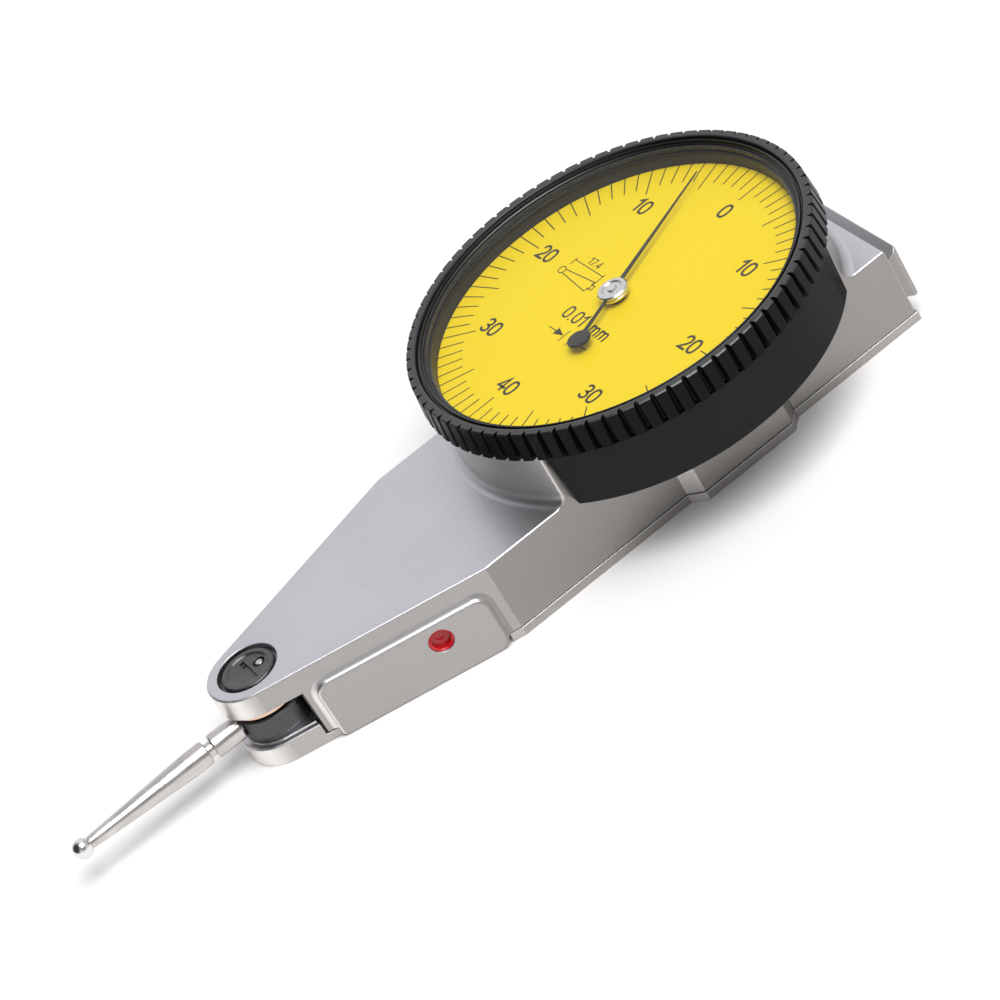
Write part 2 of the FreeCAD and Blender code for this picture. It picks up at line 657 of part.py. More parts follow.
keep(disc("lower_pivot_bush", D["lower_bush_rad"], 0.85, D["arm_top"], bore=D["arbor_rad"] + 0.02, x=px0))
plug = new_body("pivot_plug")
spin(plug, [(0, 0.06), (D["lower_bush_rad"] - 0.1, 0.06), (D["lower_bush_rad"], 0.16), (D["lower_bush_rad"], 0.85), (0, 0.85)])
pocket(plug, [[(-2, -0.2), (2, -0.2), (2, 0.2), (-2, 0.2)]], -0.1, 0.4)
place(plug, px0, 0, 0)
keep(plug)
keep(disc("thrust_washer", D["hub_rad"] + 0.02, D["washer_low"], D["washer_high"], bore=D["arbor_rad"] + 0.35, x=px0, chamfer=0.05))

ring_blank = disc("ring_blank", D["nose_rad"] - 0.7, D["arm_top"] + 0.11, D["hub_low"] - 0.05, bore=2.72, x=px0)
keep(cut(ring_blank, [box(px0, px0 + 6, -1.75, 1.75, 2, 3)], "spacer_ring"))

# red sealing plug with a dished face
red = new_body("seal_plug")
spin(red, [(0, 0), (D["plug_rad"], 0), (D["plug_rad"], 1.1), (D["plug_rad"] - 0.1, 1.15), (D["plug_rad"] - 0.26, 1.0), (D["plug_rad"] - 0.3, 0.42), (0.5, 0.34), (0, 0.42)])
red.Placement = Placement(Vector(px, py, D["plug_z"].v) - pn * 1.18, Rotation(Vector(0, 0, 1), pn))
keep(red)

# ================================================================= dial case
g = D["case_gap"]
case_wall = fuse([
    cut(cyl(D["case_rad"], D["case_low"], D["case_deck"]), [cyl(D["case_wall_in"], D["case_low"] + 0.9, 20)]),
    cut(cyl(D["case_rad"], D["case_deck"] - 0.3, D["rim_top"]), [cyl(D["rim_in"], D["case_deck"] - 1, 20)]),
])
ends = []
for sx in (-1, 1):
    wedge = new_body(fresh("end_relief"))
    pad(wedge, [[(sx * 18.0, 8.0), (sx * 15.42, 8.0), (sx * 15.9, 14.1), (sx * 18.0, 14.1)]], -20, 20, "XZ_Plane")
    ends.append(wedge)
sector = cut(case_wall, [box(-30, 30, -(D["half_wide"] + g), D["half_wide"] + g, 0, 30)] + ends)
floor = cyl(D["rim_in"] - 0.05, D["case_floor"], D["case_deck"])
spigot_body = new_body("spigot")
spin(spigot_body, [(D["spigot_in"], D["case_deck"] - 0.2), (D["spigot_out"], D["case_deck"] - 0.2), (D["spigot_out"], D["ring_low"]),
                   (D["ring_seat"], D["ring_low"]), (D["ring_seat"], D["ring_high"]), (D["spigot_out"], D["ring_high"]),
                   (D["spigot_out"], D["spigot_top"]), (D["spigot_in"], D["spigot_top"])])
case_blank = fuse([sector, floor, spigot_body])
tools = [cyl(D["jewel_rad"], 12, 15)]
for x, y in CASE_SCREWS:
    tools += [cyl(0.62, 12, 15, x, y)]
keep(cut(case_blank, tools, "dial_case"))
# pan-head screws that stand on the case deck inside the spigot
keep(group("case_screws", [screw(0.95, 0.5, 0.5, 4.2, x, y, D["case_deck"] + 0.5, False, False) for x, y in CASE_SCREWS]))
keep(disc("friction_ring", D["sleeve_in"] + 0.06, D["ring_low"] + 0.02, D["ring_high"] - 0.02, bore=D["ring_seat"] + 0.03))

# ================================================================= bezel, crystal, dial
bz = new_body("bezel")
zb, zt2 = D["bezel_low"], D["bezel_top"]
ro, rl = D["bezel_rad"], D["bezel_rad_low"]
spin(bz, [
    (D["sleeve_in"], D["sleeve_low"]), (D["sleeve_out"], D["sleeve_low"]), (D["sleeve_out"], zb), (rl - 0.1, zb), (rl, zb + 0.1),
    (ro, zt2 - 0.12), (ro - 0.15, zt2), (19.3, zt2), (19.15, zt2 - 0.06), (18.98, zt2 - 0.4),
    (18.86, zt2 - 0.4), (18.8, zt2 - 0.16), (18.7, zt2 - 0.14), (18.62, zt2 - 0.4), (D["gasket_rad"] + 0.02, D["crystal_top"] - 0.02),
    (D["gasket_rad"] + 0.02, D["crystal_low"]), (D["bezel_bore"], D["crystal_low"]), (D["bezel_bore"], D["dial_top"] + 0.01),
    (D["sleeve_in"], D["dial_top"] + 0.01), (D["sleeve_in"], D["ring_high"]), (D["sleeve_in"] + 0.12, D["ring_high"]),
    (D["sleeve_in"] + 0.12, D["ring_low"]), (D["sleeve_in"], D["ring_low"]),
])
kd = D["knurl_deep"]
notch = pocket(bz, [[(rl + 0.3, -0.46), (rl - kd, -0.07), (rl - kd, 0.07), (rl + 0.3, 0.46)]], zb - 0.2, zt2 + 0.1)
pattern = bz.newObject("PartDesign::PolarPattern", "knurl")
pattern.Originals = [notch]
pattern.Axis = (role(bz, "Z_Axis"), [""])
pattern.Angle = 360
pattern.Occurrences = int(D["knurl_count"].v)
pattern.setExpression("Occurrences", "dims.knurl_count")
bz.Tip = pattern
doc.recompute()
place(bz, 0, 0, 0, D["knurl_turn"].v)
keep(bz)
keep(disc("crystal", D["crystal_rad"], D["crystal_low"] + 0.01, D["crystal_top"], chamfer=0.08))
keep(disc("crystal_gasket", D["gasket_rad"], D["crystal_low"] + 0.01, D["crystal_top"] - 0.1, bore=D["crystal_rad"] + 0.02))
dial = disc("dial_plate", D["dial_rad"], D["dial_low"], D["dial_top"], bore=0.9)
place(dial, 0, 0, 0, D["dial_turn"].v)
keep(dial)

# ================================================================= pointer and its shaft
keep(turned("centre_arbor", [(0, D["bridge_low"] + 0.05), (0.22, D["bridge_low"] + 0.05), (0.22, D["bridge_high"] + 0.12), (D["shaft_rad"], D["bridge_high"] + 0.2),
                             (D["shaft_rad"], 15.55), (0.3, 15.6), (0.3, 16.1), (0, 16.1)]))
hand = new_body("pointer")
w0, w1 = 0.22, 0.045
pad(hand, [[(-D["hand_tail"], -0.2), (-1.2, -0.15), (1.2, -w0), (D["hand_tip"] - 0.25, -w1), (D["hand_tip"], 0.0), (D["hand_tip"] - 0.25, w1), (1.2, w0), (-1.2, 0.15), (-D["hand_tail"], 0.2)]],
    D["hand_z"], D["hand_z"] + D["hand_thk"])
pad(hand, [("circle", -D["hand_tail"], 0, D["hand_disc"])], D["hand_z"], D["hand_z"] + D["hand_thk"])
pad(hand, [("circle", -D["hand_tail"], 0, D["hand_disc"] - 0.14)], D["hand_z"] + 0.05, D["hand_z"] + D["hand_thk"] + 0.07)
pad(hand, [("circle", 0, 0, 1.1)], D["hand_z"], D["hand_z"] + D["hand_thk"])
pocket(hand, [("circle", 0, 0, 0.32)], D["hand_z"] - 0.5, D["hand_z"] + 0.5)
place(hand, 0, 0, 0, D["hand_turn"].v)
keep(hand)
hz = D["hand_z"] + D["hand_thk"]
keep(turned("pointer_hub", [(0.32, hz + 0.0), (D["hubcap_rad"], hz), (D["hubcap_rad"], hz + 0.14), (D["hubcap_rad"] - 0.12, hz + 0.26), (1.0, hz + 0.3), (0.9, hz + 0.18), (0.5, hz + 0.18), (0.4, hz + 0.34), (0, hz + 0.36), (0, hz + 0.06), (0.32, hz + 0.06)]))
keep(disc("pointer_collar", 1.42, 15.6, D["hand_z"], bore=0.32, chamfer=0.06))
keep(disc("hairspring_collet", 0.7, D["spring_z"] - 0.15, D["spring_z"] + 0.45, bore=D["shaft_rad"]))


# ================================================================= gears
def gear_shape(teeth, module, thick, z, bore, first=0, last=None, slim=0.62, add=0.75, ded=0.95, web=None):
    """Spur gear with slim straight-flanked teeth; first and last pick a run of teeth for a sector."""
    rp = teeth * module / 2.0
    ra, rf = rp + add * module, rp - ded * module
    step = 2 * math.pi / teeth
    pts = []
    last = teeth if last is None else last
    for i in range(first, last):
        a = i * step
        half_r = step / 4 * slim * 1.25 * rp / rf
        half_p = step / 4 * slim * 0.62 * rp / ra
        pts += [Vector(rf * math.cos(a - half_r), rf * math.sin(a - half_r), z), Vector(ra * math.cos(a - half_p), ra * math.sin(a - half_p), z),
                Vector(ra * math.cos(a + half_p), ra * math.sin(a + half_p), z), Vector(rf * math.cos(a + half_r), rf * math.sin(a + half_r), z)]
    return rp, ra, rf, pts


def full_gear(label, teeth, z, thick, bore, x, spokes=0, hub=0.0):
    m = D["gear_module"].v
    rp, ra, rf, pts = gear_shape(int(teeth.v), m, thick.v, z.v, bore)
    face = Part.Face(Part.makePolygon(pts + [pts[0]]))
    solid = face.extrude(Vector(0, 0, thick.v))
    solid = solid.cut(Part.makeCylinder(bore, thick.v + 2, Vector(0, 0, z.v - 1)))
    if spokes:
        inner, outer = hub, rf - 0.9
        for k in range(spokes):
            a0 = k * 360.0 / spokes + 8
            ring = Part.makeCylinder(outer, thick.v + 2, Vector(0, 0, z.v - 1), Vector(0, 0, 1), 360.0 / spokes - 16)
            ring = ring.cut(Part.makeCylinder(inner, thick.v + 4, Vector(0, 0, z.v - 2)))
            ring.rotate(Vector(0, 0, 0), Vector(0, 0, 1), a0)
            solid = solid.cut(ring)
    f = doc.addObject("Part::Feature", "gear_" + label)
    f.Label = label
    f.Shape = solid.removeSplitter()
    f.Placement = Placement(Vector(x, 0, 0), Rotation())
    return f


wx = D["wheel_x"].v
# the sector meshes with the pinion at the pinion's side towards the lever: the pinion shows a gap there
pin_teeth, wheel_t, centre_t = int(D["pinion_teeth"].v), int(D["wheel_teeth"].v), int(D["centre_teeth"].v)
pinion = full_gear("intermediate_pinion", D["pinion_teeth"], D["sector_z"] - 0.1, D["sector_thk"] + 0.2, 0.5, wx)
pinion.Placement = Placement(Vector(wx, 0, 0), Rotation(Vector(0, 0, 1), 180.0 + 180.0 / pin_teeth))
keep(pinion)
# the wheel shows a tooth towards the centre pinion, which shows a gap
wheel = full_gear("intermediate_wheel", D["wheel_teeth"], D["train_z"], D["train_thk"], 0.5, wx, spokes=4, hub=1.6)
keep(wheel)
cpin = full_gear("centre_pinion", D["centre_teeth"], D["train_z"] - 0.15, D["train_thk"] + 0.3, D["shaft_rad"].v, 0.0)
cpin.Placement = Placement(Vector(0, 0, 0), Rotation(Vector(0, 0, 1), 180.0 + 180.0 / centre_t))
keep(cpin)
keep(turned("wheel_arbor", [(0, D["bridge_low"] + 0.05), (0.22, D["bridge_low"] + 0.05), (0.22, D["bridge_high"] + 0.06), (0.5, D["bridge_high"] + 0.1), (0.5, 7.15), (0.22, 7.2), (0.22, 8.2), (0, 8.2)], x=D["wheel_x"]))

# sector: toothed brass rim segment riveted on the lever
m = D["gear_module"].v
half_n = 8
rp, ra, rf, pts = gear_shape(int(D["sector_teeth"].v), m, 0.4, D["sector_z"].v, 0, first=-half_n, last=half_n + 1)
back = 31.4
aa = (half_n + 0.5) * 2 * math.pi / D["sector_teeth"].v
zz = D["sector_z"].v
poly = [Vector(back, -1.3, zz), Vector(rf * math.cos(aa), -rf * math.sin(aa), zz)] + pts + [Vector(rf * math.cos(aa), rf * math.sin(aa), zz), Vector(back, 1.3, zz)]
sec = Part.Face(Part.makePolygon(poly + [poly[0]])).extrude(Vector(0, 0, D["sector_thk"].v))
for x, y in ((32.2, 0.0), (33.4, 0.0)):
    sec = sec.cut(Part.makeCylinder(0.3, 3, Vector(x, y, zz - 1)))
sf = doc.addObject("Part::Feature", "sector_shape")
sf.Label = "sector_gear"
sf.Shape = sec.removeSplitter()
sf.Placement = Placement(Vector(D["pivot_x"].v, 0, 0), Rotation())
keep(sf)

# swing lever: hub sleeve around the arbor and a slim arm under the sector
lev = new_body("swing_lever")
lz, lt = D["sector_z"] + 0.0, D["sector_z"] + 0.4
pad(lev, [[(0, -1.7), (8, -1.0), (30.0, -0.7), (31.3, -0.7), (31.3, 0.7), (30.0, 0.7), (8, 1.0), (0, 1.7)]], lz, lt)
pad(lev, [("circle", 0, 0, 2.6)], lz, lt)
pad(lev, [[(29.5, -0.7), (33.9, -0.7), (33.9, 0.7), (29.5, 0.7)]], D["sector_z"] + 0.41, D["sector_z"] + 0.75)
pad(lev, [[(29.5, -0.7), (31.3, -0.7), (31.3, 0.7), (29.5, 0.7)]], D["sector_z"], D["sector_z"] + 0.5)
pad(lev, [("circle", 0, 0, 1.45)], lz, 5.15)
pocket(lev, [("circle", 0, 0, D["arbor_rad"])], 1, 6)
pocket(lev, [("circle", 32.2, 0, 0.3), ("circle", 33.4, 0, 0.3)], D["sector_z"] + 0.3, D["sector_z"] + 1)
place(lev, px0, 0, 0)
keep(lev)
keep(turned("spring_pin", [(0, D["sector_z"] + 0.41), (0.28, D["sector_z"] + 0.41), (0.28, D["sector_z"] + 2.1), (0, D["sector_z"] + 2.1)], x=-24.5, y=0.35))
rivets = [turned(fresh("rivet"), [(0, D["sector_z"] - 0.2), (0.5, D["sector_z"] - 0.2), (0.5, D["sector_z"] - 0.01), (0.29, D["sector_z"] - 0.01), (0.29, D["sector_z"] + 0.76), (0.5, D["sector_z"] + 0.76), (0.5, D["sector_z"] + 0.95), (0, D["sector_z"] + 0.95)],
                 x=px0 + dx) for dx in (32.2, 33.4)]
keep(group("sector_rivets", rivets))
keep(turned("lever_arbor", [(0, 0.9), (0.5, 0.9), (D["arbor_rad"], 1.1), (D["arbor_rad"], 7.2), (0.5, 7.4), (0, 7.4)], x=px0))
keep(disc("clutch_spring", 2.6, 4.92, 5.04, bore=1.5, x=px0))
keep(disc("clutch_collar", 2.2, 5.05, 5.15, bore=1.47, x=px0))

# ================================================================= stylus
hubd = new_body("stylus_hub_blank")
spin(hubd, [(1.5, D["hub_low"]), (D["hub_rad"] - 0.02, D["hub_low"]), (D["hub_rad"], D["hub_low"] + 0.02), (D["hub_rad"], D["hub_high"] - 0.12),
            (D["hub_rad"] - 0.12, D["hub_high"]), (1.5, D["hub_high"])])
hole = new_body("stylus_thread_hole")
spin(hole, [(0, 0), (0.6, 0), (0.6, 5), (0, 5)])
hole.Placement = Placement(Vector(D["pivot_x"].v - 2.2, 0, D["stylus_z"].v - 0.15), Rotation(Vector(0, 0, 1), Vector(-1, 0, 0)))
place(hubd, px0, 0, 0)
doc.recompute()
turned_hub = cut(hubd, [hole], "stylus_hub")
hubf = turned_hub

hub_turn = Rotation(Vector(0, 0, 1), D["stylus_turn"].v)
piv = Vector(D["pivot_x"].v, 0, 0)
hubf.Placement = Placement(piv - hub_turn.multVec(piv), hub_turn)
keep(hubf)

br, reach = D["ball_rad"], D["ball_reach"]
r0 = 3.52
sty = new_body("stylus")
spin(sty, [(0, 2.3), (0.57, 2.3), (0.57, r0), (1.12, r0), (1.2, r0 + 0.08), (1.2, 6.42), (1.12, 6.5), (0.72, 6.55), (0.72, 7.15), (1.12, 7.2), (1.2, 7.28),
           (1.2, 9.4), (1.17, 9.9), (0.66, reach - 1.6), (0.6, reach - 0.82), (0, reach - 0.82)])
kneel = Rotation(Vector(0, 1, 0), -90)
swing = Rotation(Vector(0, 0, 1), D["stylus_turn"].v)
sty.Placement = Placement(Vector(D["pivot_x"].v, 0, D["stylus_z"].v - 0.15), swing.multiply(kneel))
keep(sty)
ball = doc.addObject("Part::Sphere", "ball")
ball.Radius = bind(ball, "Radius", br)
bc = swing.multVec(Vector(-reach.v, 0, 0))
ball.Placement = Placement(Vector(D["pivot_x"].v + bc.x, bc.y, D["stylus_z"].v - 0.15), Rotation())
seat_tool = new_body("ball_seat_tool")
spin(seat_tool, [(0, reach - 1.6), (0.7, reach - 1.6), (0.7, reach - 0.8), (0, reach - 0.8)])
seat_tool.Placement = sty.Placement
keep(cut(ball, [seat_tool], "contact_ball"))

# ================================================================= movement bridge, pillars, jewels
bridge = new_body("movement_bridge")
pad(bridge, [[(-21.3, -4.9), (-21.3, -8.0), (-17.7, -8.0), (-15.6, -5.6), (-11.5, -4.8), (1.4, -8.8), (5.2, -8.8), (5.2, 8.8), (1.4, 8.8), (-11.5, 4.8), (-15.6, 5.6), (-17.7, 8.0), (-21.3, 8.0), (-21.3, 4.9), (-12.6, 1.2), (-12.6, -1.2)]],
    D["bridge_low"], D["bridge_high"])
pocket(bridge, [("circle", 0, 0, D["jewel_rad"]), ("circle", D["wheel_x"], 0, D["jewel_rad"])], 0.5, 2.5)
pocket(bridge, [("circle", x, y, 0.45) for x, y in BRIDGE], 0.5, 2.5)
keep(bridge)
keep(group("bridge_pillars", [disc(fresh("pillar"), D["pillar_rad"], D["bridge_high"], D["cavity_top"], bore=0.45, x=x, y=y) for x, y in BRIDGE]))
keep(group("bridge_screws", [screw(0.85, 0.2, 0.4, 6.6, x, y, 0.94, False, True) for x, y in BRIDGE]))
jr, sb = D["jewel_rad"], 0.25
keep(disc("jewel_centre_lower", jr, D["bridge_low"], D["bridge_high"], bore=sb))
keep(disc("jewel_centre_upper", jr, D["case_floor"], D["case_deck"], bore=D["shaft_bore"]))
keep(disc("jewel_wheel_lower", jr, D["bridge_low"], D["bridge_high"], bore=sb, x=D["wheel_x"]))
keep(disc("jewel_wheel_upper", jr, D["cavity_top"], D["top_z"] - 0.05, bore=sb, x=D["wheel_x"]))


# ================================================================= springs
def strip(points, width, low, high):
    """A flat strip that follows points in plan, closed by offsets to both sides."""
    left, right = [], []
    n = len(points)
    for i, p in enumerate(points):
        a, b = points[max(i - 1, 0)], points[min(i + 1, n - 1)]
        d = (b - a).normalize()
        nrm = Vector(-d.y, d.x, 0) * (width / 2.0)
        left.append(p + nrm)
        right.append(p - nrm)

    def curve(ps):
        c = Part.BSplineCurve()
        c.interpolate([Vector(p.x, p.y, low) for p in ps])
        return c.toShape()
    e1, e2 = curve(left), curve(list(reversed(right)))
    c1 = Part.makeLine(Vector(left[-1].x, left[-1].y, low), Vector(right[-1].x, right[-1].y, low))
    c2 = Part.makeLine(Vector(right[0].x, right[0].y, low), Vector(left[0].x, left[0].y, low))
    wire = Part.Wire([e1, c1, e2, c2])
    return Part.Face(wire).extrude(Vector(0, 0, high - low))


zs, ri, rout, nt = D["spring_z"].v, D["spring_in"].v, D["spring_out"].v, D["spring_turns"].v
coil = []
for i in range(int(nt * 16) + 1):
    a = 2 * math.pi * i / 16.0
    rr = ri + (rout - ri) * i / (nt * 16.0)
    coil.append(Vector(rr * math.cos(a), rr * math.sin(a), 0))
coil.append(Vector(rout + 0.5, 0.45, 0))
coil.append(Vector(rout + 1.0, 0.6, 0))
hs = doc.addObject("Part::Feature", "hairspring_shape")
hs.Label = "hairspring"
hs.Shape = strip(coil, 0.07, zs, zs + 0.3)
keep(hs)
stud = new_body("hairspring_stud")
pad(stud, [[(rout + 1.05, 0.2), (rout + 1.9, 0.2), (rout + 1.9, 1.1), (rout + 1.05, 1.1)]], zs - 0.2, D["cavity_top"])
keep(stud)

post = disc("spring_post", 0.6, 3.6, D["cavity_top"], x=-36.0, y=4.0)
keep(post)
ls = doc.addObject("Part::Feature", "lever_spring_shape")
ls.Label = "lever_spring"
path = [Vector(-35.3, 4.0, 0), Vector(-34.0, 3.55, 0), Vector(-31.0, 2.3, 0), Vector(-27.5, 1.15, 0), Vector(-24.0, 0.75, 0)]
ls.Shape = strip(path, 0.16, D["sector_z"].v + 0.05 + 1.35, D["sector_z"].v + 2.0)
keep(ls)

doc.recompute()

# ---------------------------------------------------------------- check everything, then write
bad = []
for o in doc.Objects:
    for s in o.State:
        if "Invalid" in s or "Error" in s:
            bad.append((o.Name, o.Label, o.State))
labels = [o.Label for o in PARTS]
if len(set(labels)) != len(labels):
    bad.append(("labels", "repeated", [x for x in labels if labels.count(x) > 1]))
for o in PARTS:
    sh = o.Shape
    if sh.isNull() or not sh.isValid() or sh.Volume <= 0:
        bad.append((o.Name, o.Label, "shape"))
    if len(sh.Solids) < 1:
        bad.append((o.Name, o.Label, "no solid"))
if bad:
    for b in bad:
        print("BAD", b)
    raise SystemExit(1)
for o in PARTS:
    o.Shape.exportStep("parts/%s.step" % o.Label)
    bb = o.Shape.BoundBox
    print("%-22s solids %d vol %9.3f  x %.2f..%.2f y %.2f..%.2f z %.2f..%.2f" % (o.Label, len(o.Shape.Solids), o.Shape.Volume, bb.XMin, bb.XMax, bb.YMin, bb.YMax, bb.ZMin, bb.ZMax))
print("parts", len(PARTS))
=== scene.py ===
import bpy
import math
import bmesh
from mathutils import Matrix, Vector


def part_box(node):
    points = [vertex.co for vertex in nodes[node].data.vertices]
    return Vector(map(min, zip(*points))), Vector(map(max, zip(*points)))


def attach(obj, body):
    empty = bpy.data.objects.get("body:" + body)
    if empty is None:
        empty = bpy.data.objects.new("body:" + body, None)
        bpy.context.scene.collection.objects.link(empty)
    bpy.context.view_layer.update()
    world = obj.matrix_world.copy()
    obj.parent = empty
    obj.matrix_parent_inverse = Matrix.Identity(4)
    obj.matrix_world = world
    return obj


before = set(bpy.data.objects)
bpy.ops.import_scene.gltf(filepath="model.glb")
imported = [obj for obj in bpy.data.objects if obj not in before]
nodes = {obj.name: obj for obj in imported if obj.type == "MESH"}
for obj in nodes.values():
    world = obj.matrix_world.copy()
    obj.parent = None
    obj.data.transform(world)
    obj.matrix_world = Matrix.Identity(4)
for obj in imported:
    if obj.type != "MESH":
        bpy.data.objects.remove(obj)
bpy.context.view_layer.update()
scene = bpy.context.scene
MM = 0.001

# ------------------------------------------------------------------ camera
right = Vector((0.7727094, -0.4638892, -0.4332748))
down = Vector((-0.6127980, -0.3671698, -0.6997607))
fwd = Vector((0.1655260, 0.8062216, -0.5679859))
cam_data = bpy.data.cameras.new("camera")
cam = bpy.data.objects.new("camera", cam_data)
scene.collection.objects.link(cam)
m = Matrix.Identity(4)
for i, axis in enumerate((right, -down, -fwd)):
    axis = axis.normalized()
    for k in range(3):
        m[k][i] = axis[k]
m.translation = Vector((-81.781, -306.206, 221.429)) * MM
cam.matrix_world = m
cam_data.sensor_width = 36.0
cam_data.lens = 151.2
cam_data.clip_start, cam_data.clip_end = 0.01, 10.0
scene.camera = cam
scene.view_settings.view_transform = "Standard"
scene.view_settings.look = "None"


# ------------------------------------------------------------------ material helpers
class Mat:
    """Small wrapper that builds a node material."""

    def __init__(self, name, **values):
        self.m = bpy.data.materials.new(name)
        self.m.use_nodes = True
        self.t = self.m.node_tree
        self.b = self.t.nodes["Principled BSDF"]
        self.set(**values)
        self.coord = self.new("ShaderNodeTexCoord")

    def set(self, **values):
        names = {"color": "Base Color", "metallic": "Metallic", "rough": "Roughness", "ior": "IOR", "spec": "Specular IOR Level",
                 "coat": "Coat Weight", "coat_rough": "Coat Roughness", "aniso": "Anisotropic", "sss": "Subsurface Weight",
                 "transmission": "Transmission Weight", "tint": "Specular Tint"}
        for k, v in values.items():
            if k in ("color", "tint"):
                v = (v[0], v[1], v[2], 1.0)
            self.b.inputs[names[k]].default_value = v

    def new(self, kind, **props):
        n = self.t.nodes.new(kind)
        for k, v in props.items():
            setattr(n, k, v)
        return n

    def link(self, a, b):
        self.t.links.new(a, b)
        return b

    def noise(self, scale, detail=3.0, rough=0.55, stretch=None, source=None):
        n = self.new("ShaderNodeTexNoise")
        n.inputs["Scale"].default_value = scale
        n.inputs["Detail"].default_value = detail
        n.inputs["Roughness"].default_value = rough
        src = source or self.coord.outputs["Object"]
        if stretch:
            mp = self.new("ShaderNodeMapping")
            mp.inputs["Scale"].default_value = stretch
            self.link(src, mp.inputs["Vector"])
            src = mp.outputs["Vector"]
        self.link(src, n.inputs["Vector"])
        return n.outputs["Fac"]

    def ramp(self, fac, stops):
        r = self.new("ShaderNodeValToRGB")
        el = r.color_ramp.elements
        while len(el) < len(stops):
            el.new(0.5)
        for e, (p, c) in zip(el, stops):
            e.position = p
            e.color = (c, c, c, 1.0) if not isinstance(c, tuple) else (c[0], c[1], c[2], 1.0)
        self.link(fac, r.inputs["Fac"])
        return r.outputs["Color"]

    def span(self, fac, lo, hi, a=0.0, b=1.0):
        r = self.new("ShaderNodeMapRange")
        r.inputs["From Min"].default_value = a
        r.inputs["From Max"].default_value = b
        r.inputs["To Min"].default_value = lo
        r.inputs["To Max"].default_value = hi
        self.link(fac, r.inputs["Value"])
        return r.outputs["Result"]

    def math(self, op, a, b=None):
        n = self.new("ShaderNodeMath", operation=op)
        for i, v in enumerate((a, b)):
            if v is None:
                continue
            if isinstance(v, (int, float)):
                n.inputs[i].default_value = v
            else:
                self.link(v, n.inputs[i])
        return n.outputs[0]

    def mix(self, fac, a, b):
        n = self.new("ShaderNodeMix", data_type="RGBA")
        if isinstance(fac, (int, float)):
            n.inputs["Factor"].default_value = fac
        else:
            self.link(fac, n.inputs["Factor"])
        for key, v in ((6, a), (7, b)):
            if isinstance(v, tuple):
                n.inputs[key].default_value = (v[0], v[1], v[2], 1.0)
            else:
                self.link(v, n.inputs[key])
        return n.outputs[2]

    def bump(self, height, strength, distance, normal=None):
        n = self.new("ShaderNodeBump")
        n.inputs["Strength"].default_value = strength
        n.inputs["Distance"].default_value = distance
        self.link(height, n.inputs["Height"])
        if normal is not None:
            self.link(normal, n.inputs["Normal"])
        return n.outputs["Normal"]

    def soft_edges(self, radius):
        n = self.new("ShaderNodeBevel")
        n.samples = 6
        n.inputs["Radius"].default_value = radius
        return n.outputs["Normal"]

    def edge_mask(self, radius, lo=0.80, hi=0.985):
        """1 on sharp edges, 0 on flats."""
        nb = self.soft_edges(radius)
        g = self.new("ShaderNodeNewGeometry")
        d = self.new("ShaderNodeVectorMath", operation="DOT_PRODUCT")
        self.link(nb, d.inputs[0])
        self.link(g.outputs["True Normal"], d.inputs[1])
        return self.span(d.outputs["Value"], 1.0, 0.0, lo, hi), nb

    def to(self, name, socket):
        self.link(socket, self.b.inputs[name])


# ------------------------------------------------------------------ materials
def cast_metal(name, top=(0.62, 0.612, 0.64), flank_painted_shade=(0.31, 0.298, 0.287), minus_x_face_painted_light=(0.88, 0.86, 0.84), grain=5200.0, brushed=False):
    """Blasted alloy on the top. The vertical faces are ground, and their colour is painted darker as painted shade. A
    painted highlight makes the faces turned towards -X, the nose end, lighter.
    """
    a = Mat(name, color=top, metallic=1.0, rough=0.4)
    sep = a.new("ShaderNodeSeparateXYZ")
    a.link(a.coord.outputs["Normal"], sep.inputs[0])
    wide = a.noise(70.0, 2.0)
    fine = a.noise(grain, 4.0, 0.6)
    # painted shade and painted light: the side colour runs from the dark flank tone to a light tone as the face turns
    # towards -X, and the vertical faces are set apart from the top tone
    side_painted_shade = a.mix(a.span(sep.outputs[0], 1.0, 0.0, -0.70, -0.20), flank_painted_shade, minus_x_face_painted_light)
    col = a.mix(a.span(a.math("ABSOLUTE", sep.outputs[2]), 0.0, 1.0, 0.25, 0.85), side_painted_shade, top)
    shade = a.math("ADD", a.span(wide, 0.96, 1.04, 0.35, 0.65), a.span(fine, 0.0, -0.12, 0.4, 0.8))
    vm = a.new("ShaderNodeVectorMath", operation="SCALE")
    a.link(col, vm.inputs[0])
    a.link(shade, vm.inputs["Scale"])
    col = vm.outputs[0]
    # painted highlight: sharp edges are blended towards a pale grey in the base colour
    painted_edge_highlight, nb = a.edge_mask(0.00018)
    col = a.mix(a.math("MULTIPLY", painted_edge_highlight, 0.55), col, (0.86, 0.86, 0.85))
    a.to("Base Color", col)
    if brushed:
        lines = a.noise(1400.0, 3.0, 0.7, stretch=(0.03, 1.0, 2.2))
        rough = a.span(lines, 0.30, 0.46, 0.3, 0.7)
        height = a.math("ADD", a.math("MULTIPLY", lines, 0.7), a.math("MULTIPLY", fine, 0.4))
        a.to("Roughness", rough)
        a.to("Normal", a.bump(height, 0.2, 0.00002, nb))
    else:
        rough = a.math("ADD", a.span(wide, 0.33, 0.39, 0.3, 0.7), a.math("MULTIPLY", fine, 0.05))
        a.to("Roughness", rough)
        a.to("Normal", a.bump(fine, 0.3, 0.00003, nb))
    return a.m


def black_plastic(name, base=0.012, rough=0.3, grain=3500.0, bump=0.12, spec=0.5):
    a = Mat(name, color=(base, base, base * 1.08), rough=rough, spec=spec)
    fine = a.noise(grain, 4.0, 0.6)
    wide = a.noise(160.0, 2.0)
    a.to("Base Color", a.mix(a.span(wide, 0.0, 1.0, 0.35, 0.65), (base * 0.85,) * 3, (base * 1.25, base * 1.25, base * 1.35)))
    a.to("Roughness", a.math("ADD", a.span(wide, rough - 0.03, rough + 0.04, 0.3, 0.7), a.math("MULTIPLY", fine, 0.06)))
    a.to("Normal", a.bump(fine, bump, 0.00002, a.soft_edges(0.00012)))
    return a


